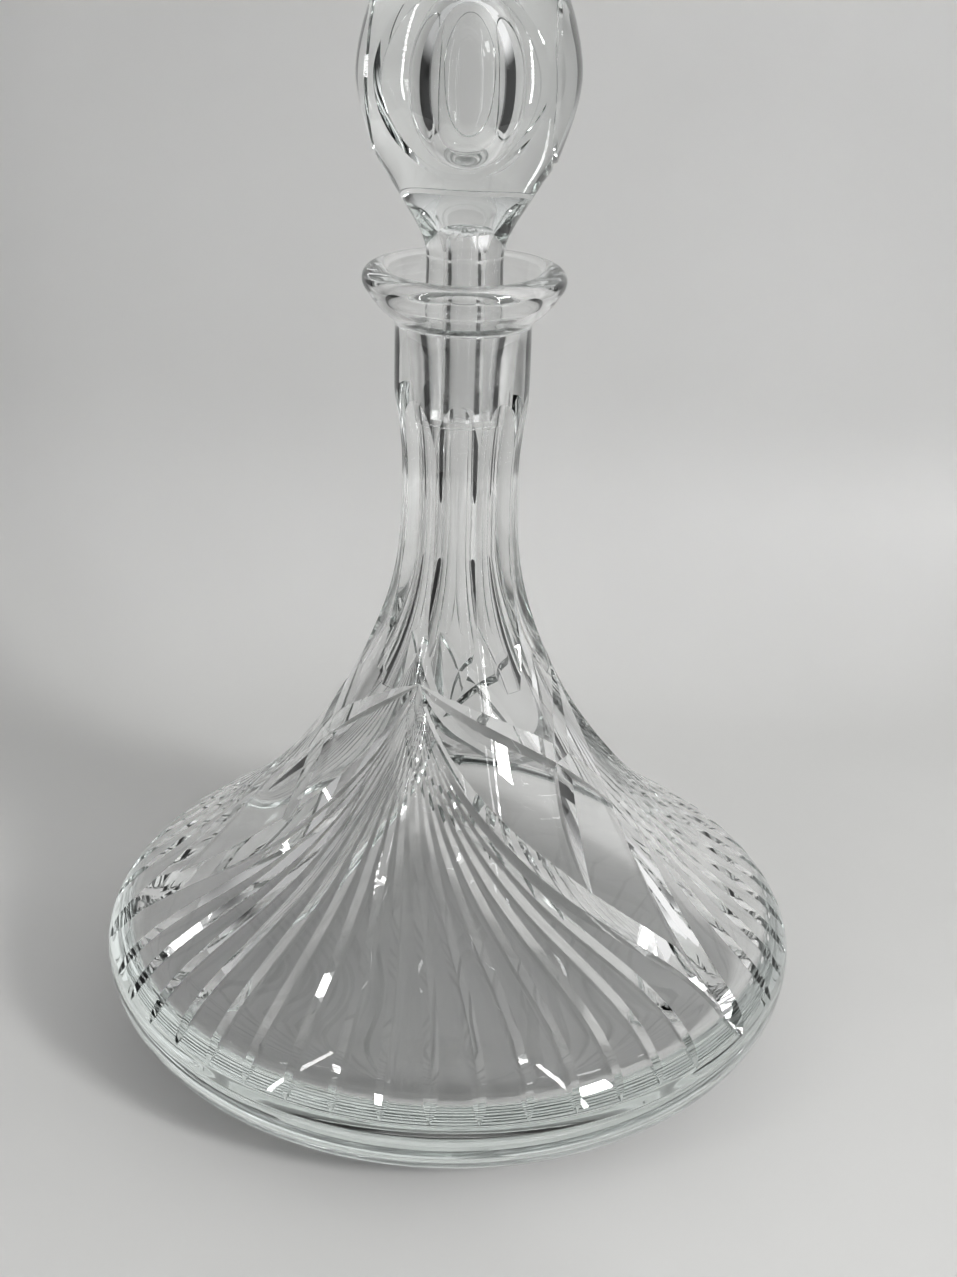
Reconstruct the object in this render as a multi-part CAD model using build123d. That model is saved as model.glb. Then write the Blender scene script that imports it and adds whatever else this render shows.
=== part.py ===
from build123d import *
import os

# Ship's decanter in cut glass, with a ground ball stopper. Millimetres, +Z up.
# Origin: centre of the flat underside, on the decanter's axis.

# Body
BODY_R = 97.5            # widest ring of the base
BODY_R_Z = 24.0          # height of the widest ring
FOOT_R = 70.0            # edge of the flat underside
FLOOR_Z = 13.0           # top of the thick glass bottom
FLOOR_R = 72.0           # flat part of the inside bottom
WALL = 6.0               # glass between the widest ring and the hollow
HOLLOW_R_Z = 29.0        # height of the hollow's widest ring

# Neck and mouth
NECK_R = 17.4            # plain neck above the flutes
FLUTE_TOP_Z = 184.0      # arched tops of the flutes
CUP_FOOT_Z = 200.5       # where the cup-shaped mouth leaves the neck
CUP_R = 25.75            # widest ring of the cup
CUP_R_Z = 211.8
CUP_TOP_R = 22.4         # crest of the rim
RIM_Z = 214.8            # top of the rim
MOUTH_R = 19.3           # inner edge of the rim
MOUTH_Z = 214.1
BORE_R = 7.4             # neck bore under the ground joint

# Ground joint, one part in ten on the diameter
JOINT_LOW_Z = 178.0      # bottom end of the plug
JOINT_TOP_Z = 202.5      # top end of the socket
PLUG_TOP_R = 9.3
PLUG_LOW_R = 8.1
JOINT_GAP = 0.05         # clearance all round
SOCKET_RUN = 1.5         # ground socket carries on this far below the plug

# Neck flutes
FLUTES = 9
FIRST_ARRIS = -23.0      # azimuth of the ridge left of the front, degrees
FLUTE_TUBE_R = 22.0      # hollow-ground section of each flute

# Stopper
STEM_R = 9.7
WAIST_R = 9.9
WAIST_Z = 219.5
BALL_R = 29.7            # ridges between the ovals
BALL_Z = 261.0
BALL_TOP_Z = 292.0
OVALS = 4
FIRST_OVAL = -5.0        # azimuth of the front oval, degrees
OVAL_R = 27.1            # axis to the middle of an oval at BALL_Z
OVAL_SHIFT = 14.5        # an oval is turned about a line this far behind the axis
OVAL_LOW_Z = 232.0       # the ovals run out above this height
CAVITY_R = 11.0          # egg-shaped hollow inside the ball
CAVITY_HALF_HEIGHT = 17.5
CAVITY_Z = 260.0
WELL_R = 3.4             # blind well up the middle of the plug and stem
WELL_TOP_Z = 229.0


def ring_solid(outline):
    """A closed half outline in the XZ plane, turned once about the Z axis."""
    return revolve(Plane.XZ * make_face(outline), axis=Axis.Z)


def front_turn(azimuth):
    """Turn that carries +X to an azimuth counted from the front (-Y) towards +X."""
    return Rotation(0, 0, azimuth - 90)


def vessel_blank():
    """Outside of the vessel before cutting."""
    foot = Line((0, 0), (FOOT_R, 0))
    edge = EllipticalCenterArc(
        (FOOT_R, BODY_R_Z), BODY_R - FOOT_R, BODY_R_Z, start_angle=-90, arc_size=90
    )
    shoulder = Spline(
        (BODY_R, BODY_R_Z),
        (93.8, 32.0),
        (85.0, 40.0),
        (68.6, 52.0),
        (54.2, 65.0),
        (41.9, 80.0),
        (32.0, 95.0),
        (24.5, 110.0),
        (19.0, 125.0),
        (16.2, 140.0),
        (15.6, 155.0),
        (16.4, 172.0),
        (NECK_R, FLUTE_TOP_Z + 2.0),
        tangents=[(0, 1), (0, 1)],
    )
    neck = Line((NECK_R, FLUTE_TOP_Z + 2.0), (NECK_R, CUP_FOOT_Z))
    cup = Spline(
        (NECK_R, CUP_FOOT_Z),
        (20.9, 204.2),
        (23.8, 207.8),
        (CUP_R, CUP_R_Z),
        (24.9, 213.9),
        (CUP_TOP_R, RIM_Z),
        tangents=[(0.35, 1), (-1, 0)],
    )
    rim = Spline((CUP_TOP_R, RIM_Z), (MOUTH_R, MOUTH_Z), tangents=[(-1, 0), (-1, -0.7)])
    closing = Polyline((MOUTH_R, MOUTH_Z), (0, MOUTH_Z), (0, 0))
    return ring_solid([foot, edge, shoulder, neck, cup, rim, closing])


def hollow():
    """Everything inside the glass: body, neck bore, ground socket and cup."""
    taper = (PLUG_TOP_R - PLUG_LOW_R) / (JOINT_TOP_Z - JOINT_LOW_Z)
    socket_top = PLUG_TOP_R + JOINT_GAP
    socket_low_z = JOINT_LOW_Z - SOCKET_RUN
    socket_low = socket_top - taper * (JOINT_TOP_Z - socket_low_z)
    floor = Line((0, FLOOR_Z), (FLOOR_R, FLOOR_Z))
    heel = Spline(
        (FLOOR_R, FLOOR_Z), (BODY_R - WALL, HOLLOW_R_Z), tangents=[(1, 0), (0, 1)]
    )
    inside = Spline(
        (BODY_R - WALL, HOLLOW_R_Z),
        (80.0, 38.0),
        (64.0, 49.0),
        (50.0, 61.0),
        (36.5, 77.0),
        (26.0, 92.0),
        (17.8, 107.0),
        (11.4, 123.0),
        (BORE_R, 142.0),
        tangents=[(0, 1), (0, 1)],
    )
    bore = Polyline((BORE_R, 142.0), (BORE_R, socket_low_z), (socket_low, socket_low_z))
    socket = Line((socket_low, socket_low_z), (socket_top, JOINT_TOP_Z))
    cup = Spline(
        (socket_top, JOINT_TOP_Z),
        (14.6, 204.6),
        (18.2, 209.0),
        (MOUTH_R, MOUTH_Z),
        tangents=[(1, 0.25), (0.1, 1)],
    )
    top = Polyline((MOUTH_R, MOUTH_Z), (MOUTH_R, RIM_Z + 5), (0, RIM_Z + 5), (0, FLOOR_Z))
    return ring_solid([floor, heel, inside, bore, socket, cup, top])


def flute_cutter():
    """A tube beside the neck on +X whose inner side grinds one flute, leaving the glass at both ends."""
    reach = FLUTE_TUBE_R
    path = Spline(
        (25.6 + reach, 107.0),
        (18.3 + reach, 121.0),
        (14.8 + reach, 138.0),
        (13.9 + reach, 155.0),
        (14.8 + reach, 172.0),
        (18.6 + reach, FLUTE_TOP_Z + 4.0),
    )
    path = Plane.XZ * path
    return sweep(Plane(path @ 0, z_dir=path % 0) * Circle(FLUTE_TUBE_R), path=path)


def vessel():
    glass = vessel_blank() - hollow()
    step = 360.0 / FLUTES
    cutter = flute_cutter()
    flutes = [front_turn(FIRST_ARRIS + step * (i + 0.5)) * cutter for i in range(FLUTES)]
    return glass - flutes


def stopper_blank():
    """Ball, cone, stem and tapered plug, turned in one piece."""
    plug = Polyline((0, JOINT_LOW_Z), (PLUG_LOW_R, JOINT_LOW_Z), (PLUG_TOP_R, JOINT_TOP_Z))
    outline = Spline(
        (PLUG_TOP_R, JOINT_TOP_Z),
        (STEM_R, 212.0),
        (WAIST_R, WAIST_Z),
        (14.4, 229.0),
        (19.0, 236.5),
        (23.2, 243.0),
        (27.9, 252.0),
        (BALL_R, BALL_Z),
        (27.9, 272.0),
        (20.0, 284.0),
        (0, BALL_TOP_Z),
        tangents=[(0.05, 1), (-1, 0)],
    )
    axis_line = Line((0, BALL_TOP_Z), (0, JOINT_LOW_Z))
    return ring_solid([plug, outline, axis_line])


def oval_limit():
    """Solid on +X whose flank is one oval of the ball. It is wide open below the ovals."""
    shift = OVAL_SHIFT
    flank = Spline(
        (19.9 + shift, OVAL_LOW_Z),
        (20.7 + shift, 236.5),
        (22.0 + shift, 241.0),
        (23.6 + shift, 245.6),
        (25.8 + shift, 252.7),
        (OVAL_R + shift, BALL_Z),
        (26.2 + shift, 268.9),
        (23.6 + shift, 277.9),
        (21.0 + shift, 284.0),
        (19.0 + shift, BALL_TOP_Z + 1),
    )
    far = 3 * BALL_R
    below = Polyline((flank @ 0), (far, OVAL_LOW_Z), (far, JOINT_LOW_Z - 5), (0, JOINT_LOW_Z - 5))
    above = Polyline((0, JOINT_LOW_Z - 5), (0, BALL_TOP_Z + 1), (flank @ 1))
    return Pos(-shift, 0, 0) * ring_solid([flank, below, above])


def cavity():
    """Closed egg-shaped hollow in the ball."""
    low = CAVITY_Z - CAVITY_HALF_HEIGHT
    high = CAVITY_Z + CAVITY_HALF_HEIGHT
    wall = EllipticalCenterArc(
        (0, CAVITY_Z), CAVITY_R, CAVITY_HALF_HEIGHT, start_angle=-90, arc_size=180
    )
    return ring_solid([wall, Line((0, high), (0, low))])


def peg_well():
    """Blind round-ended well, open at the bottom of the plug."""
    low = JOINT_LOW_Z - 1
    side = Line((WELL_R, low), (WELL_R, WELL_TOP_Z - WELL_R))
    end = CenterArc((0, WELL_TOP_Z - WELL_R), WELL_R, 0, 90)
    return ring_solid([side, end, Polyline((0, WELL_TOP_Z), (0, low), (WELL_R, low))])


def stopper():
    glass = stopper_blank()
    limit = oval_limit()
    for i in range(OVALS):
        glass = glass & (front_turn(FIRST_OVAL + 360.0 / OVALS * i) * limit)
    return glass - cavity() - peg_well()


os.makedirs("parts", exist_ok=True)
for name, shape in (("vessel", vessel()), ("stopper", stopper())):
    solid = shape.solids()[0]
    solid.label = name
    export_step(solid, f"parts/{name}.step")
    print(name, len(shape.solids()), round(solid.volume / 1000, 1), "cm3", solid.bounding_box())
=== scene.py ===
import math

import bpy
import numpy as np
from mathutils import Matrix, Vector


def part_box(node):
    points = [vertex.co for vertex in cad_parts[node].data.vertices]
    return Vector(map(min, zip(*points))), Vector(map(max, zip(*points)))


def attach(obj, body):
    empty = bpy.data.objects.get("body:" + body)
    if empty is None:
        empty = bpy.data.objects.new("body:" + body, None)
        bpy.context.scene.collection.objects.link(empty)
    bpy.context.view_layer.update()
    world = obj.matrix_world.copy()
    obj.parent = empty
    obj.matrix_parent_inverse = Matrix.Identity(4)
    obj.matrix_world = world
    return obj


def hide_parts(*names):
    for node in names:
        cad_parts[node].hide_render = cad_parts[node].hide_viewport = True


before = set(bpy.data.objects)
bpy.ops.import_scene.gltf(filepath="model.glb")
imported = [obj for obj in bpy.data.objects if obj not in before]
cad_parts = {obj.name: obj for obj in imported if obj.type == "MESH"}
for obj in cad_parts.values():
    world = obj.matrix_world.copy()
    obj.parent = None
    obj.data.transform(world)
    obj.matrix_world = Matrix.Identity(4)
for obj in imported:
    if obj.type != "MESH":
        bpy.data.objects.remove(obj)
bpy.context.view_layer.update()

# Ship's decanter in cut glass. Lengths in this script are metres, in the CAD frame:
# +Z up, origin at the centre of the flat underside, -Y towards the front.

MM = 0.001

# ---------------------------------------------------------------- driving sizes

vessel_low, vessel_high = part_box("vessel")
stopper_low, stopper_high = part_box("stopper")

BODY_R = vessel_high[0]
RIM_Z = vessel_high[2]
PLUG_LOW_Z = stopper_low[2]
BALL_TOP_Z = stopper_high[2]

BODY_R_Z = 24 * MM
FOOT_R = 70 * MM
FLOOR_Z = 13 * MM
FLOOR_R = 72 * MM
WALL = 6 * MM
HOLLOW_R_Z = 29 * MM

NECK_R = 17.4 * MM
NECK_LOW_Z = 186 * MM
CUP_FOOT_Z = 200.5 * MM
CUP_R = 25.75 * MM
CUP_R_Z = 211.8 * MM
CUP_TOP_R = 22.4 * MM
MOUTH_R = 19.3 * MM
MOUTH_Z = 214.1 * MM
BORE_R = 7.4 * MM
BORE_TOP_Z = 142 * MM

JOINT_TOP_Z = 202.5 * MM
PLUG_TOP_R = 9.3 * MM
PLUG_LOW_R = 8.1 * MM
JOINT_GAP = 0.05 * MM
SOCKET_RUN = 1.5 * MM

FLUTES = 9
FIRST_ARRIS = -23.0
FLUTE_TUBE_R = 22 * MM

BALL_R = 29.7 * MM
BALL_Z = 261 * MM
OVALS = 4
FIRST_OVAL = -5.0
OVAL_R = 27.1 * MM
OVAL_SHIFT = 14.5 * MM
OVAL_MID_Z = 262 * MM
OVAL_HALF_HEIGHT = 21.5 * MM
OVAL_HALF_ANGLE = 40.0
GROOVE_WIDTH = 2.2 * MM
GROOVE_DEPTH = 0.7 * MM
CAVITY_R = 11 * MM
CAVITY_HALF_HEIGHT = 17.5 * MM
CAVITY_Z = 260 * MM
WELL_R = 3.4 * MM
WELL_TOP_Z = 229 * MM

# Three fans of mitre cuts. Each opens from an apex under a neck ridge, and neighbouring fans
# share a tip low on the base. Azimuths are degrees from the front (-Y) towards +X.
FAN_APEXES = (-23.0, 97.0, 217.0)
SHARED_TIPS = (-79.0, 53.0, 167.0, 281.0)
APEX_R = 24.6 * MM
THIN_PITCH = 7.1
EDGE_GAP = 11.5
TIP_Z = 26.5 * MM

# Widths across the cuts, and how deep a cut is for its width
THIN_WIDTH = 3.9 * MM
EDGE_WIDTH = 8.5 * MM
LEAF_WIDTH = 7.0 * MM
THIN_DEPTH = 0.31
EDGE_DEPTH = 0.30

AROUND = 224             # segments round a turned surface


# ---------------------------------------------------------------- curves

def spline(points, start, end, per_span=8):
    """Smooth curve with continuous curvature through points, leaving along start and arriving along end."""
    p = np.array(points, float)
    chord = np.linalg.norm(np.diff(p, axis=0), axis=1)
    t = np.concatenate([[0.0], np.cumsum(chord)])
    n = len(p)
    a = np.zeros((n, n))
    b = np.zeros((n, 2))
    a[0, 0] = a[-1, -1] = 1.0
    b[0] = np.array(start, float) / np.linalg.norm(start)
    b[-1] = np.array(end, float) / np.linalg.norm(end)
    for i in range(1, n - 1):
        h0, h1 = chord[i - 1], chord[i]
        a[i, i - 1] = 1 / h0
        a[i, i] = 2 / h0 + 2 / h1
        a[i, i + 1] = 1 / h1
        b[i] = 3 * ((p[i] - p[i - 1]) / h0 ** 2 + (p[i + 1] - p[i]) / h1 ** 2)
    slope = np.linalg.solve(a, b)
    out = []
    for i in range(n - 1):
        h = chord[i]
        steps = per_span if i < n - 2 else per_span + 1
        for k in range(steps):
            u = k / per_span
            out.append(
                (2 * u ** 3 - 3 * u ** 2 + 1) * p[i]
                + (u ** 3 - 2 * u ** 2 + u) * h * slope[i]
                + (3 * u ** 2 - 2 * u ** 3) * p[i + 1]
                + (u ** 3 - u ** 2) * h * slope[i + 1]
            )
    return np.array(out)


def line(a, b, steps=1):
    return np.linspace(a, b, steps + 1)


def chain(*parts):
    """Curves joined end to end, with each shared point kept once."""
    out = [parts[0]]
    for part in parts[1:]:
        out.append(part[1:])
    return np.concatenate(out)


# ---------------------------------------------------------------- outlines (radius, height)

def outer_outline():
    corner = np.linspace(-math.pi / 2, 0, 21)
    edge = np.stack(
        [FOOT_R + (BODY_R - FOOT_R) * np.cos(corner), BODY_R_Z * (1 + np.sin(corner))], axis=1
    )
    shoulder = spline(
        [
            (BODY_R, BODY_R_Z),
            (93.8 * MM, 32.0 * MM),
            (85.0 * MM, 40.0 * MM),
            (68.6 * MM, 52.0 * MM),
            (54.2 * MM, 65.0 * MM),
            (41.9 * MM, 80.0 * MM),
            (32.0 * MM, 95.0 * MM),
            (24.5 * MM, 110.0 * MM),
            (19.0 * MM, 125.0 * MM),
            (16.2 * MM, 140.0 * MM),
            (15.6 * MM, 155.0 * MM),
            (16.4 * MM, 172.0 * MM),
            (NECK_R, NECK_LOW_Z),
        ],
        (0, 1),
        (0, 1),
    )
    neck = line((NECK_R, NECK_LOW_Z), (NECK_R, CUP_FOOT_Z), 3)
    cup = spline(
        [
            (NECK_R, CUP_FOOT_Z),
            (20.9 * MM, 204.2 * MM),
            (23.8 * MM, 207.8 * MM),
            (CUP_R, CUP_R_Z),
            (24.9 * MM, 213.9 * MM),
            (CUP_TOP_R, RIM_Z),
        ],
        (0.35, 1),
        (-1, 0),
        10,
    )
    rim = spline([(CUP_TOP_R, RIM_Z), (MOUTH_R, MOUTH_Z)], (-1, 0), (-1, -0.7), 8)
    return edge, shoulder, neck, cup, rim


def inner_outline():
    """From the mouth down to the middle of the floor: cup, ground socket, and the rest."""
    taper = (PLUG_TOP_R - PLUG_LOW_R) / (JOINT_TOP_Z - PLUG_LOW_Z)
    socket_top = PLUG_TOP_R + JOINT_GAP
    socket_low_z = PLUG_LOW_Z - SOCKET_RUN
    socket_low = socket_top - taper * (JOINT_TOP_Z - socket_low_z)
    cup = spline(
        [(MOUTH_R, MOUTH_Z), (18.2 * MM, 209 * MM), (14.6 * MM, 204.6 * MM), (socket_top, JOINT_TOP_Z)],
        (-0.1, -1),
        (-1, -0.25),
        10,
    )
    socket = line((socket_top, JOINT_TOP_Z), (socket_low, socket_low_z), 6)
    bore = chain(
        line((socket_low, socket_low_z), (BORE_R, socket_low_z - 0.3 * MM), 1),
        line((BORE_R, socket_low_z - 0.3 * MM), (BORE_R, BORE_TOP_Z), 4),
        spline(
            [
                (BORE_R, BORE_TOP_Z),
                (11.4 * MM, 123 * MM),
                (17.8 * MM, 107 * MM),
                (26.0 * MM, 92 * MM),
                (36.5 * MM, 77 * MM),
                (50.0 * MM, 61 * MM),
                (64.0 * MM, 49 * MM),
                (80.0 * MM, 38 * MM),
                (BODY_R - WALL, HOLLOW_R_Z),
            ],
            (0, -1),
            (0, -1),
            7,
        ),
        spline([(BODY_R - WALL, HOLLOW_R_Z), (FLOOR_R, FLOOR_Z)], (0, -1), (-1, 0), 16),
    )
    return cup, socket, bore


def stopper_outline():
    """From the end of the well in the peg, down and round the plug, and up to the top of the ball."""
    turn_in = np.linspace(math.pi / 2, 0, 13)
    well_end = np.stack(
        [WELL_R * np.cos(turn_in), WELL_TOP_Z - WELL_R + WELL_R * np.sin(turn_in)], axis=1
    )
    well_end[0, 0] = 0
    well = line((WELL_R, WELL_TOP_Z - WELL_R), (WELL_R, PLUG_LOW_Z), 8)
    foot = line((WELL_R, PLUG_LOW_Z), (PLUG_LOW_R, PLUG_LOW_Z), 1)
    plug = line((PLUG_LOW_R, PLUG_LOW_Z), (PLUG_TOP_R, JOINT_TOP_Z), 6)
    rest = spline(
        [
            (PLUG_TOP_R, JOINT_TOP_Z),
            (9.7 * MM, 212.0 * MM),
            (9.9 * MM, 219.5 * MM),
            (14.4 * MM, 229.0 * MM),
            (19.0 * MM, 236.5 * MM),
            (23.2 * MM, 243.0 * MM),
            (27.9 * MM, 252.0 * MM),
            (BALL_R, BALL_Z),
            (27.9 * MM, 272.0 * MM),
            (20.0 * MM, 284.0 * MM),
            (0, BALL_TOP_Z),
        ],
        (0.05, 1),
        (-1, 0),
        10,
    )
    return well_end, well, foot, plug, rest


# ---------------------------------------------------------------- meshes

POLISHED, GROUND, CUT = 0, 1, 2


def mesh_object(name, verts, faces, slots=None):
    mesh = bpy.data.meshes.new(name)
    mesh.from_pydata([tuple(v) for v in verts], [], faces)
    if slots is not None:
        mesh.polygons.foreach_set("material_index", slots)
    mesh.update()
    obj = bpy.data.objects.new(name, mesh)
    bpy.context.scene.collection.objects.link(obj)
    return obj


def turned(name, outline, slot_of_span, segments=AROUND):
    """Closed body of revolution from a half outline that starts and ends on the axis."""
    ring = outline[1:-1]
    angles = np.arange(segments) * 2 * math.pi / segments
    c, s = np.cos(angles), np.sin(angles)
    verts = [(r * c[k], r * s[k], z) for r, z in ring for k in range(segments)]
    low = len(verts)
    verts.append((0, 0, outline[0][1]))
    verts.append((0, 0, outline[-1][1]))
    faces, slots = [], []
    for k in range(segments):
        n = (k + 1) % segments
        faces.append((low, n, k))
        slots.append(slot_of_span[0])
        top = (len(ring) - 1) * segments
        faces.append((low + 1, top + k, top + n))
        slots.append(slot_of_span[-1])
        for i in range(len(ring) - 1):
            a, b = i * segments, (i + 1) * segments
            faces.append((a + k, a + n, b + n, b + k))
            slots.append(slot_of_span[i + 1])
    return mesh_object(name, verts, faces, slots)


def strip_solid(name, sections, endless=False):
    """Closed solid through a list of equal-length rings of points. It has flat ends, or meets itself."""
    m = len(sections[0])
    verts = [p for ring in sections for p in ring]
    faces = []
    count = len(sections)
    if not endless:
        faces.append(tuple(range(m - 1, -1, -1)))
        faces.append(tuple((count - 1) * m + i for i in range(m)))
    for j in range(count if endless else count - 1):
        near, far = j * m, (j + 1) % count * m
        for i in range(m):
            n = (i + 1) % m
            faces.append((near + i, near + n, far + n, far + i))
    obj = mesh_object(name, verts, faces, [CUT] * len(faces))
    return obj


def outward(obj):
    """Turns a closed mesh's faces outwards."""
    import bmesh
    bm = bmesh.new()
    bm.from_mesh(obj.data)
    bmesh.ops.recalc_face_normals(bm, faces=bm.faces)
    bm.to_mesh(obj.data)
    bm.free()
    return obj


def around(azimuth, r, z):
    a = math.radians(azimuth)
    return Vector((r * math.sin(a), -r * math.cos(a), z))


def carve(obj, cutters):
    """Takes the cutters out of obj, one after another."""
    for cutter in cutters:
        outward(cutter)
        mod = obj.modifiers.new("cut", "BOOLEAN")
        mod.operation = "DIFFERENCE"
        mod.solver = "MANIFOLD"
        mod.object = cutter
    shape = bpy.data.meshes.new_from_object(obj.evaluated_get(bpy.context.evaluated_depsgraph_get()))
    obj.modifiers.clear()
    old = obj.data
    obj.data = shape
    bpy.data.meshes.remove(old)
    for cutter in cutters:
        mesh = cutter.data
        bpy.data.objects.remove(cutter)
        bpy.data.meshes.remove(mesh)
    return obj


# ---------------------------------------------------------------- cutters

class Shoulder:
    """The uncut outer surface, walked by distance down from the fans' apexes."""

    def __init__(self, outline):
        down = outline[::-1]
        keep = (down[:, 0] >= APEX_R * 0.8) & (down[:, 1] < 130 * MM)
        self.p = down[keep]
        step = np.linalg.norm(np.diff(self.p, axis=0), axis=1)
        self.s = np.concatenate([[0.0], np.cumsum(step)])
        self.s -= np.interp(APEX_R, self.p[:, 0], self.s)
        tangent = np.gradient(self.p, self.s, axis=0)
        tangent /= np.linalg.norm(tangent, axis=1)[:, None]
        self.n = np.stack([-tangent[:, 1], tangent[:, 0]], axis=1)

    def at(self, s):
        r = np.interp(s, self.s, self.p[:, 0])
        z = np.interp(s, self.s, self.p[:, 1])
        nr = np.interp(s, self.s, self.n[:, 0])
        nz = np.interp(s, self.s, self.n[:, 1])
        return r, z, nr, nz

    def at_height(self, z):
        return np.interp(-z, -self.p[:, 1], self.s)

    def at_radius(self, r):
        return np.interp(r, self.p[:, 0], self.s)


def mitre_cutter(name, shoulder, places, widths, depth_ratio):
    """V-section cutter along a path. places are (distance down, azimuth); widths are at the surface."""
    points, normals = [], []
    for s, azimuth in places:
        r, z, nr, nz = shoulder.at(s)
        points.append(around(azimuth, r, z))
        normals.append(around(azimuth, nr, nz).normalized())
    lift = 1.5 * MM
    sections = []
    count = len(points)
    for i in range(count):
        ahead = points[min(i + 1, count - 1)] - points[max(i - 1, 0)]
        across = normals[i].cross(ahead).normalized()
        depth = max(widths[i] * depth_ratio, 0.02 * MM)
        half = max(widths[i], 0.05 * MM) / 2 * (1 + lift / depth)
        half = min(half, widths[i] / 2 + 4 * MM)
        top = points[i] + normals[i] * lift
        sections.append([points[i] - normals[i] * depth, top + across * half, top - across * half])
    return strip_solid(name, sections)


def fan_spread(shoulder, s):
    """How far across its fan a cut has swung at distance s: 0 at the apex, 1 at the tips."""
    r = shoulder.at(s)[0]
    u = np.clip((r - APEX_R) / (BODY_R - APEX_R), 0, 1)
    return 1 - (1 - u) ** 2.3


def fan_cutter(name, shoulder, apex, tip, width, depth_ratio, tip_z=TIP_Z, stations=40):
    s_end = shoulder.at_height(tip_z)
    places, widths = [], []
    for k in range(stations + 1):
        t = k / stations
        s = s_end * (t + 0.12 * math.sin(math.pi * t) / math.pi)
        places.append((s, apex + (tip - apex) * fan_spread(shoulder, s)))
        grow = min(1.0, 0.12 + s / (60 * MM))
        close = min(1.0, (s_end - s) / (9 * MM))
        widths.append(width * grow * math.sin(close * math.pi / 2) ** 0.6)
    return mitre_cutter(name, shoulder, places, widths, depth_ratio)


def leaf_cutter(name, shoulder, apex, extent, stations=32):
    """A long leaf that leaves the apex sideways and crosses its neighbour above the shared tip."""
    s_end = shoulder.at_radius(60 * MM)
    places, widths = [], []
    for k in range(stations + 1):
        t = k / stations
        s = s_end * t
        u = (shoulder.at(s)[0] - APEX_R) / (BODY_R - APEX_R)
        swing = 1.35 * (1 - math.exp(-u / 0.115)) + 0.05 * u
        places.append((s, apex + extent * swing * 0.97))
        widths.append(LEAF_WIDTH * max(0.0, math.sin(math.pi * t ** 0.8)) ** 0.8)
    return mitre_cutter(name, shoulder, places, widths, EDGE_DEPTH)


def fan_cutters(shoulder):
    cutters = []
    for f, apex in enumerate(FAN_APEXES):
        left, right = SHARED_TIPS[f], SHARED_TIPS[f + 1]
        for tip in (left, right):
            cutters.append(fan_cutter(f"edge_{f}", shoulder, apex, tip, EDGE_WIDTH, EDGE_DEPTH))
            cutters.append(leaf_cutter(f"leaf_{f}", shoulder, apex, tip - apex))
        room = right - left - 2 * EDGE_GAP
        count = int(round(room / THIN_PITCH)) + 1
        for k in range(count):
            tip = left + EDGE_GAP + room * k / (count - 1)
            cutters.append(fan_cutter(f"thin_{f}", shoulder, apex, tip, THIN_WIDTH, THIN_DEPTH))
    return cutters


def flute_cutter(azimuth):
    """A tube beside the neck whose inner side hollows one flute."""
    middle = spline(
        [
            (25.6 * MM, 107 * MM),
            (18.3 * MM, 121 * MM),
            (14.8 * MM, 138 * MM),
            (13.9 * MM, 155 * MM),
            (14.8 * MM, 172 * MM),
            (18.6 * MM, 188 * MM),
        ],
        (-7.5, 14),
        (4, 14),
        10,
    )
    sections = []
    for r, z in middle:
        ring = []
        for k in range(17):
            a = math.radians(-40 + 5 * k)
            out = r + FLUTE_TUBE_R * (1 - math.cos(a))
            side = FLUTE_TUBE_R * math.sin(a)
            ring.append((out, side, z))
        ring.append((r + 22 * MM, 16 * MM, z))
        ring.append((r + 22 * MM, -16 * MM, z))
        sections.append([turn(p, azimuth) for p in ring])
    return strip_solid("flute", sections)


def turn(p, azimuth):
    """Carries a point drawn beside +X to an azimuth from the front."""
    a = math.radians(azimuth - 90)
    return Vector((p[0] * math.cos(a) - p[1] * math.sin(a), p[0] * math.sin(a) + p[1] * math.cos(a), p[2]))


def oval_flank():
    """Upright curve down the middle of an oval."""
    return spline(
        [
            (19.9 * MM, 232.0 * MM),
            (20.7 * MM, 236.5 * MM),
            (22.0 * MM, 241.0 * MM),
            (23.6 * MM, 245.6 * MM),
            (25.8 * MM, 252.7 * MM),
            (OVAL_R, BALL_Z),
            (26.2 * MM, 268.9 * MM),
            (23.6 * MM, 277.9 * MM),
            (21.0 * MM, 284.0 * MM),
            (19.0 * MM, 293.0 * MM),
        ],
        (0.2, 1),
        (-0.2, 1),
        10,
    )


def oval_cutter(azimuth):
    """Everything outside one oval of the ball. The oval is turned about a line behind the ball's axis."""
    sections = []
    for r, z in oval_flank():
        ring = []
        reach = r + OVAL_SHIFT
        for k in range(53):
            a = math.radians(-39 + 1.5 * k)
            ring.append((reach * math.cos(a) - OVAL_SHIFT, reach * math.sin(a), z))
        a = math.radians(39)
        far = reach + 25 * MM
        ring.append((far * math.cos(a) - OVAL_SHIFT, far * math.sin(a), z))
        ring.append((far * math.cos(a) - OVAL_SHIFT, -far * math.sin(a), z))
        sections.append([turn(p, azimuth) for p in ring])
    return strip_solid("oval", sections)


def oval_surface(azimuth_off, z, outline, flank):
    """Radius of the ball at an angle from an oval's middle."""
    reach = np.interp(z, flank[:, 1], flank[:, 0]) + OVAL_SHIFT
    a = math.radians(azimuth_off)
    oval = math.sqrt(reach ** 2 - (OVAL_SHIFT * math.sin(a)) ** 2) - OVAL_SHIFT * math.cos(a)
    return min(oval, np.interp(z, outline[:, 1], outline[:, 0]))


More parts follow.
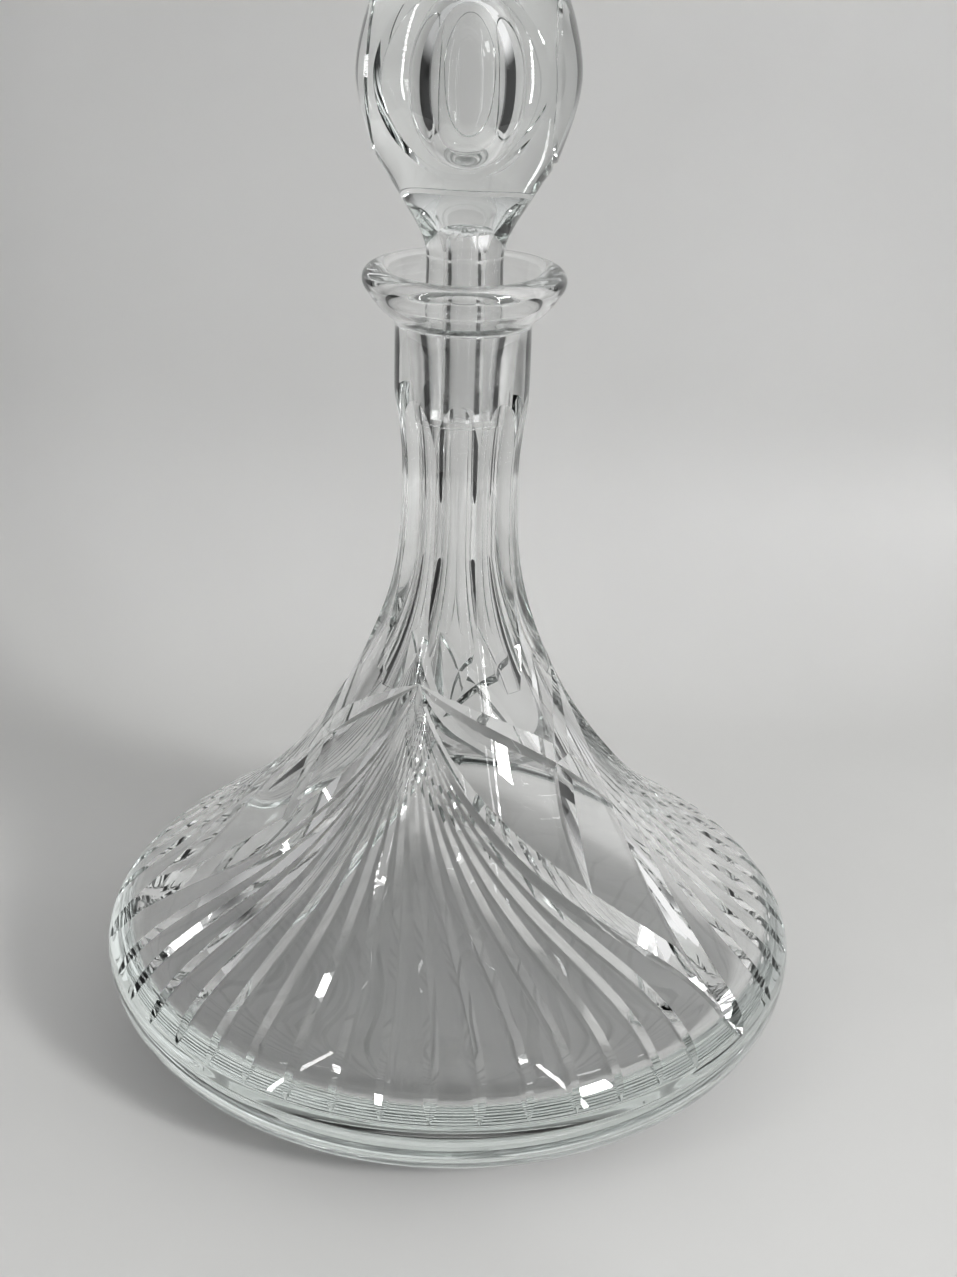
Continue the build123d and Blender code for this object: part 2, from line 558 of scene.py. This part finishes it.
def rim_groove(azimuth, outline):
    """Fine mitre cut that runs right round one oval."""
    flank = oval_flank()
    points = []
    stations = 120
    for k in range(stations):
        t = 2 * math.pi * k / stations
        swing = math.copysign(abs(math.cos(t)) ** 0.85, math.cos(t)) * OVAL_HALF_ANGLE
        z = OVAL_MID_Z + OVAL_HALF_HEIGHT * math.sin(t)
        points.append(around(azimuth + swing, oval_surface(swing, z, outline, flank), z))
    sections = []
    for k in range(stations):
        ahead = points[(k + 1) % stations] - points[k - 1]
        out = (points[k] - Vector((0, 0, OVAL_MID_Z - 4 * MM))).normalized()
        across = out.cross(ahead).normalized()
        top = points[k] + out * 1.2 * MM
        half = GROOVE_WIDTH / 2 * (1 + 1.2 * MM / GROOVE_DEPTH)
        sections.append([points[k] - out * GROOVE_DEPTH, top + across * half, top - across * half])
    return strip_solid("groove", sections, endless=True)


def cavity_body():
    """The closed egg-shaped hollow in the ball."""
    a = np.linspace(-math.pi / 2, math.pi / 2, 49)
    outline = np.stack([CAVITY_R * np.cos(a), CAVITY_Z + CAVITY_HALF_HEIGHT * np.sin(a)], axis=1)
    outline[0, 0] = outline[-1, 0] = 0
    return turned("cavity", outline, [CUT] * 48, 96)


# ---------------------------------------------------------------- shading normals

def turned_normals(mesh, outline, creases):
    """Exact normals on turned faces, and smooth ones on the cut faces, with an edge kept wherever they meet."""
    count = len(mesh.loops)
    verts = np.empty(len(mesh.vertices) * 3)
    mesh.vertices.foreach_get("co", verts)
    verts = verts.reshape(-1, 3)
    loop_vert = np.empty(count, int)
    mesh.loops.foreach_get("vertex_index", loop_vert)
    slots = np.empty(len(mesh.polygons), int)
    mesh.polygons.foreach_get("material_index", slots)
    starts = np.empty(len(mesh.polygons), int)
    totals = np.empty(len(mesh.polygons), int)
    mesh.polygons.foreach_get("loop_start", starts)
    mesh.polygons.foreach_get("loop_total", totals)
    face_of_loop = np.repeat(np.arange(len(mesh.polygons)), totals)
    face_normal = np.empty(len(mesh.polygons) * 3)
    mesh.polygons.foreach_get("normal", face_normal)
    face_normal = face_normal.reshape(-1, 3)

    a, b = outline[:-1], outline[1:]
    tangent = b - a
    length = np.linalg.norm(tangent, axis=1)
    tangent = tangent / length[:, None]
    span_normal = np.stack([tangent[:, 1], -tangent[:, 0]], axis=1)
    node_normal = np.zeros_like(outline)
    node_normal[1:-1] = span_normal[:-1] + span_normal[1:]
    node_normal[0], node_normal[-1] = span_normal[0], span_normal[-1]
    node_normal /= np.linalg.norm(node_normal, axis=1)[:, None]
    crease = np.zeros(len(outline), bool)
    crease[list(creases)] = True
    start_normal = np.where(crease[:-1, None], span_normal, node_normal[:-1])
    end_normal = np.where(crease[1:, None], span_normal, node_normal[1:])

    out = np.zeros((count, 3))
    turned_loops = np.where(slots[face_of_loop] != CUT)[0]
    p = verts[loop_vert[turned_loops]]
    radius = np.hypot(p[:, 0], p[:, 1])
    q = np.stack([radius, p[:, 2]], axis=1)
    facing = face_normal[face_of_loop[turned_loops]]
    safe = np.maximum(radius, 1e-9)
    facing_2d = np.stack([(facing[:, 0] * p[:, 0] + facing[:, 1] * p[:, 1]) / safe, facing[:, 2]], axis=1)
    for chunk in range(0, len(q), 20000):
        part = slice(chunk, chunk + 20000)
        d = q[part][:, None, :] - a[None]
        along = np.clip((d * tangent[None]).sum(2), 0, length[None])
        off = d - along[..., None] * tangent[None]
        cost = (off ** 2).sum(2) - 1e-9 * (facing_2d[part] @ span_normal.T)
        best = cost.argmin(1)
        rows = np.arange(len(best))
        w = (along[rows, best] / length[best])[:, None]
        n2 = start_normal[best] * (1 - w) + end_normal[best] * w
        n2 /= np.linalg.norm(n2, axis=1)[:, None]
        c = p[part][:, 0] / safe[part]
        s = p[part][:, 1] / safe[part]
        on_axis = radius[part] < 1e-6
        c[on_axis] = 0
        s[on_axis] = 0
        out[turned_loops[part]] = np.stack([n2[:, 0] * c, n2[:, 0] * s, n2[:, 1]], axis=1)
    mesh.polygons.foreach_set("use_smooth", [True] * len(mesh.polygons))
    mark_edges(mesh, slots, face_normal)
    mesh.normals_split_custom_set(out.tolist())


def mark_edges(mesh, slots, face_normal):
    """An edge is sharp where a cut meets the turned glass, or where two cuts meet."""
    faces_of_edge = {}
    loop_edge = np.empty(len(mesh.loops), int)
    mesh.loops.foreach_get("edge_index", loop_edge)
    for poly in mesh.polygons:
        for e in loop_edge[poly.loop_start:poly.loop_start + poly.loop_total]:
            faces_of_edge.setdefault(int(e), []).append(poly.index)
    sharp = np.zeros(len(mesh.edges), bool)
    limit = math.cos(math.radians(14))
    for e, faces in faces_of_edge.items():
        if len(faces) != 2:
            sharp[e] = True
            continue
        f, g = faces
        if slots[f] != slots[g]:
            sharp[e] = True
        elif slots[f] == CUT:
            sharp[e] = float(face_normal[f] @ face_normal[g]) < limit
    attribute = mesh.attributes.get("sharp_edge") or mesh.attributes.new("sharp_edge", "BOOLEAN", "EDGE")
    attribute.data.foreach_set("value", sharp)


# ---------------------------------------------------------------- materials

def new_material(name):
    material = bpy.data.materials.new(name)
    material.use_nodes = True
    tree = material.node_tree
    tree.nodes.clear()
    output = tree.nodes.new("ShaderNodeOutputMaterial")
    return material, tree, output


def crystal():
    """Clear glass with faint polishing waves and smears. Faces marked ground are finely frosted."""
    material, tree, output = new_material("crystal")
    shader = tree.nodes.new("ShaderNodeBsdfPrincipled")
    shader.inputs["Base Color"].default_value = (1.0, 1.0, 1.0, 1)
    shader.inputs["Transmission Weight"].default_value = 1.0
    shader.inputs["IOR"].default_value = 1.53
    coords = tree.nodes.new("ShaderNodeTexCoord")
    smear = tree.nodes.new("ShaderNodeTexNoise")
    smear.inputs["Scale"].default_value = 30
    smear.inputs["Detail"].default_value = 4
    tree.links.new(coords.outputs["Object"], smear.inputs["Vector"])
    polish = tree.nodes.new("ShaderNodeMapRange")
    polish.inputs["From Min"].default_value = 0.45
    polish.inputs["From Max"].default_value = 0.8
    polish.inputs["To Min"].default_value = 0.0
    polish.inputs["To Max"].default_value = 0.03
    tree.links.new(smear.outputs["Fac"], polish.inputs["Value"])
    grain = tree.nodes.new("ShaderNodeTexNoise")
    grain.inputs["Scale"].default_value = 900
    grain.inputs["Detail"].default_value = 2
    tree.links.new(coords.outputs["Object"], grain.inputs["Vector"])
    frost = tree.nodes.new("ShaderNodeMapRange")
    frost.inputs["From Min"].default_value = 0.3
    frost.inputs["From Max"].default_value = 0.7
    frost.inputs["To Min"].default_value = 0.06
    frost.inputs["To Max"].default_value = 0.14
    tree.links.new(grain.outputs["Fac"], frost.inputs["Value"])
    mark = tree.nodes.new("ShaderNodeAttribute")
    mark.attribute_name = "ground"
    either = tree.nodes.new("ShaderNodeMix")
    tree.links.new(mark.outputs["Fac"], either.inputs["Factor"])
    tree.links.new(polish.outputs["Result"], either.inputs["A"])
    tree.links.new(frost.outputs["Result"], either.inputs["B"])
    tree.links.new(either.outputs["Result"], shader.inputs["Roughness"])
    ripple = tree.nodes.new("ShaderNodeTexNoise")
    ripple.inputs["Scale"].default_value = 45
    ripple.inputs["Detail"].default_value = 1
    tree.links.new(coords.outputs["Object"], ripple.inputs["Vector"])
    bump = tree.nodes.new("ShaderNodeBump")
    bump.inputs["Strength"].default_value = 1.0
    bump.inputs["Distance"].default_value = 0.02 * MM
    tree.links.new(ripple.outputs["Fac"], bump.inputs["Height"])
    tree.links.new(bump.outputs["Normal"], shader.inputs["Normal"])
    tree.links.new(shader.outputs["BSDF"], output.inputs["Surface"])
    tint = tree.nodes.new("ShaderNodeVolumeAbsorption")
    tint.inputs["Color"].default_value = (0.82, 0.93, 0.89, 1)
    tint.inputs["Density"].default_value = 3.0
    tree.links.new(tint.outputs["Volume"], output.inputs["Volume"])
    return material


def tabletop():
    """Pale matt sheet that sweeps up behind the decanter."""
    material, tree, output = new_material("sweep")
    shader = tree.nodes.new("ShaderNodeBsdfPrincipled")
    coords = tree.nodes.new("ShaderNodeTexCoord")
    cloud = tree.nodes.new("ShaderNodeTexNoise")
    cloud.inputs["Scale"].default_value = 6
    cloud.inputs["Detail"].default_value = 5
    tree.links.new(coords.outputs["Object"], cloud.inputs["Vector"])
    colour = tree.nodes.new("ShaderNodeValToRGB")
    colour.color_ramp.elements[0].position = 0.3
    colour.color_ramp.elements[0].color = (0.60, 0.60, 0.59, 1)
    colour.color_ramp.elements[1].position = 0.7
    colour.color_ramp.elements[1].color = (0.64, 0.64, 0.63, 1)
    tree.links.new(cloud.outputs["Fac"], colour.inputs["Fac"])
    tree.links.new(colour.outputs["Color"], shader.inputs["Base Color"])
    shader.inputs["Roughness"].default_value = 0.45
    tree.links.new(shader.outputs["BSDF"], output.inputs["Surface"])
    return material


def lamp_dots(strength):
    """A strip of small bright lamps in a dimmer tube."""
    material, tree, output = new_material("lamp_strip")
    coords = tree.nodes.new("ShaderNodeTexCoord")
    split = tree.nodes.new("ShaderNodeSeparateXYZ")
    tree.links.new(coords.outputs["Object"], split.inputs["Vector"])
    scaled = tree.nodes.new("ShaderNodeMath")
    scaled.operation = "MULTIPLY"
    scaled.inputs[1].default_value = 1 / 0.024
    tree.links.new(split.outputs["Z"], scaled.inputs[0])
    part = tree.nodes.new("ShaderNodeMath")
    part.operation = "FRACT"
    tree.links.new(scaled.outputs[0], part.inputs[0])
    lit = tree.nodes.new("ShaderNodeMath")
    lit.operation = "GREATER_THAN"
    lit.inputs[1].default_value = 0.45
    tree.links.new(part.outputs[0], lit.inputs[0])
    power = tree.nodes.new("ShaderNodeMapRange")
    power.inputs["To Min"].default_value = strength * 0.15
    power.inputs["To Max"].default_value = strength
    tree.links.new(lit.outputs[0], power.inputs["Value"])
    glow = tree.nodes.new("ShaderNodeEmission")
    tree.links.new(power.outputs["Result"], glow.inputs["Strength"])
    tree.links.new(glow.outputs["Emission"], output.inputs["Surface"])
    return material


def dress(obj, glass):
    """One glass all over, with the ground faces marked for the material."""
    mesh = obj.data
    slots = np.empty(len(mesh.polygons), np.int32)
    mesh.polygons.foreach_get("material_index", slots)
    mesh.materials.clear()
    mesh.materials.append(glass)
    mesh.polygons.foreach_set("material_index", np.zeros_like(slots))
    mark = mesh.attributes.new("ground", "FLOAT", "FACE")
    mark.data.foreach_set("value", (slots == GROUND).astype(np.float32))


# ---------------------------------------------------------------- the two pieces

def build_vessel(glass):
    edge, shoulder_curve, neck, cup, rim = outer_outline()
    inner_cup, socket, bore = inner_outline()
    start = np.array([(0.0, 0.0), (FOOT_R, 0.0)])
    floor = line((FLOOR_R, FLOOR_Z), (0, FLOOR_Z), 1)
    outline = chain(start, edge, shoulder_curve, neck, cup, rim, inner_cup, socket, bore, floor)
    lengths = [len(part) - 1 for part in (start, edge, shoulder_curve, neck, cup, rim, inner_cup, socket, bore, floor)]
    slots = []
    for index, n in enumerate(lengths):
        slots += [GROUND if index == 7 else POLISHED] * n
    before = sum(lengths[:7])
    creases = [sum(lengths[:6]), before, before + lengths[7], before + lengths[7] + 1]
    obj = turned("vessel_glass", outline, slots)
    outward(obj)
    shoulder = Shoulder(chain(edge, shoulder_curve))
    flutes = [flute_cutter(FIRST_ARRIS + (i + 0.5) * 360 / FLUTES) for i in range(FLUTES)]
    carve(obj, flutes + fan_cutters(shoulder))
    turned_normals(obj.data, outline, creases)
    dress(obj, glass)
    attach(obj, "vessel")
    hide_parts("vessel")
    return obj


def build_stopper(glass):
    well_end, well, foot, plug, rest = stopper_outline()
    outline = chain(well_end, well, foot, plug, rest)
    slots = []
    for part, slot in ((well_end, CUT), (well, POLISHED), (foot, POLISHED), (plug, GROUND), (rest, POLISHED)):
        slots += [slot] * (len(part) - 1)
    obj = turned("stopper_glass", outline, slots, 176)
    wrinkle_well(obj.data)
    outward(obj)
    ovals = [oval_cutter(FIRST_OVAL + i * 360 / OVALS) for i in range(OVALS)]
    ball = rest[rest[:, 1] > 225 * MM]
    grooves = [rim_groove(FIRST_OVAL + i * 360 / OVALS, ball) for i in range(OVALS)]
    carve(obj, ovals + grooves + [cavity_body()])
    corner = len(well_end) - 1 + len(well) - 1
    turned_normals(obj.data, outline, [len(well_end) - 1, corner, corner + 1, corner + len(plug)])
    dress(obj, glass)
    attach(obj, "stopper")
    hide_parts("stopper")
    return obj


def wrinkle_well(mesh):
    """The blind end of the peg's well is fire-closed and uneven."""
    for v in mesh.vertices:
        x, y, z = v.co
        r = math.hypot(x, y)
        if z < WELL_TOP_Z - 3 * WELL_R or z > WELL_TOP_Z + 0.1 * MM or r > WELL_R * 1.01:
            continue
        a = math.atan2(y, x)
        rise = min(1.0, (z - WELL_TOP_Z + 3 * WELL_R) / (2 * WELL_R))
        swell = 1 + rise * (0.28 * math.sin(5 * a + 1) + 0.16 * math.sin(3 * a) + 0.1 * math.sin(8 * a + 2))
        lift = rise * (0.5 * math.sin(2 * a + 1) + 0.35 * math.sin(5 * a)) * MM * (r / WELL_R)
        v.co = (x * swell, y * swell, z + lift)


# ---------------------------------------------------------------- studio

def build_sweep(material):
    """Floor, a gentle bend and a wall in one sheet."""
    bend_y, bend_r, half = 0.17, 0.10, 0.42
    outline = [(-0.34, 0.0), (bend_y, 0.0)]
    outline += [
        (bend_y + bend_r * math.sin(a), bend_r * (1 - math.cos(a)))
        for a in np.linspace(0, math.pi / 2, 25)[1:]
    ]
    outline.append((bend_y + bend_r, 0.95))
    verts = [(x, y, z) for y, z in outline for x in (-half, half)]
    faces = [(2 * i, 2 * i + 1, 2 * i + 3, 2 * i + 2) for i in range(len(outline) - 1)]
    obj = mesh_object("sweep", verts, faces)
    obj.data.materials.append(material)
    obj.data.polygons.foreach_set("use_smooth", [True] * len(faces))
    obj.location.z = -0.2 * MM


def build_lamp_strip(name, x, y, low, high, width, material):
    """An upright strip of lamps that faces the decanter."""
    verts = [(-width / 2, 0, low), (width / 2, 0, low), (width / 2, 0, high), (-width / 2, 0, high)]
    obj = mesh_object(name, verts, [(0, 1, 2, 3)])
    obj.location = (x, y, 0)
    obj.rotation_euler = (0, 0, math.atan2(-x, y) + math.pi)
    obj.data.materials.append(material)


def add_area(name, place, target, size, power, size_y=None):
    data = bpy.data.lights.new(name, "AREA")
    data.energy = power
    data.size = size
    if size_y:
        data.shape = "RECTANGLE"
        data.size_y = size_y
    obj = bpy.data.objects.new(name, data)
    obj.location = place
    obj.rotation_euler = (Vector(target) - Vector(place)).to_track_quat("-Z", "Y").to_euler()
    bpy.context.scene.collection.objects.link(obj)


def ramp_along(tree, axis_output, low, high, dark):
    """Grey that rises from dark to full as one part of the direction goes from low to high."""
    rise = tree.nodes.new("ShaderNodeMapRange")
    rise.inputs["From Min"].default_value = low
    rise.inputs["From Max"].default_value = high
    rise.inputs["To Min"].default_value = dark
    rise.inputs["To Max"].default_value = 1.0
    tree.links.new(axis_output, rise.inputs["Value"])
    return rise.outputs["Result"]


def build_world():
    """A pale ceiling over a darker room, open and dark behind the camera, brighter to the right."""
    world = bpy.data.worlds.new("room")
    bpy.context.scene.world = world
    world.use_nodes = True
    tree = world.node_tree
    tree.nodes.clear()
    output = tree.nodes.new("ShaderNodeOutputWorld")
    light = tree.nodes.new("ShaderNodeBackground")
    coords = tree.nodes.new("ShaderNodeTexCoord")
    split = tree.nodes.new("ShaderNodeSeparateXYZ")
    tree.links.new(coords.outputs["Generated"], split.inputs["Vector"])
    front = ramp_along(tree, split.outputs["Y"], -0.72, -0.42, 0.03)
    side = ramp_along(tree, split.outputs["Z"], 0.02, 0.30, 0.05)
    lean = tree.nodes.new("ShaderNodeMapRange")
    lean.inputs["From Min"].default_value = -1
    lean.inputs["To Min"].default_value = 0.55
    lean.inputs["To Max"].default_value = 1.25
    tree.links.new(split.outputs["X"], lean.inputs["Value"])
    both = tree.nodes.new("ShaderNodeMath")
    both.operation = "MULTIPLY"
    tree.links.new(front, both.inputs[0])
    tree.links.new(side, both.inputs[1])
    level = tree.nodes.new("ShaderNodeMath")
    level.operation = "MULTIPLY"
    tree.links.new(both.outputs[0], level.inputs[0])
    tree.links.new(lean.outputs["Result"], level.inputs[1])
    tree.links.new(level.outputs[0], light.inputs["Strength"])
    tree.links.new(light.outputs["Background"], output.inputs["Surface"])


def build_camera():
    """Standing a little above the mouth and looking down, as in a hand-held shot."""
    distance, height = 459.2 * MM, 318.4 * MM
    pitch, roll, yaw = math.radians(24.08), math.radians(1.705), math.radians(0.77)
    data = bpy.data.cameras.new("camera")
    data.sensor_fit = "VERTICAL"
    data.sensor_height = 36
    data.lens = 52.15
    data.clip_start = 0.01
    obj = bpy.data.objects.new("camera", data)
    forward = Vector((math.sin(yaw) * math.cos(pitch), math.cos(yaw) * math.cos(pitch), -math.sin(pitch)))
    level = Vector((math.cos(yaw), -math.sin(yaw), 0))
    up = level.cross(forward)
    right = level * math.cos(roll) + up * math.sin(roll)
    true_up = up * math.cos(roll) - level * math.sin(roll)
    turn_to = Matrix((right, true_up, -forward)).transposed()
    obj.matrix_world = Matrix.Translation((0, -distance, height)) @ turn_to.to_4x4()
    bpy.context.scene.collection.objects.link(obj)
    bpy.context.scene.camera = obj


glass = crystal()
build_vessel(glass)
build_stopper(glass)
build_sweep(tabletop())
build_lamp_strip("strip_right", 0.33, -0.42, 0.06, 0.75, 0.016, lamp_dots(40))
build_lamp_strip("strip_left", -0.40, -0.36, 0.06, 0.75, 0.016, lamp_dots(28))
add_area("key", (1.15, -1.05, 0.9), (0, 0.1, 0.1), 0.30, 19)
build_world()
build_camera()

scene = bpy.context.scene
scene.view_settings.view_transform = "Standard"
scene.cycles.max_bounces = 24
scene.cycles.transmission_bounces = 24
scene.cycles.glossy_bounces = 12
scene.cycles.caustics_reflective = True
scene.cycles.sample_clamp_indirect = 8
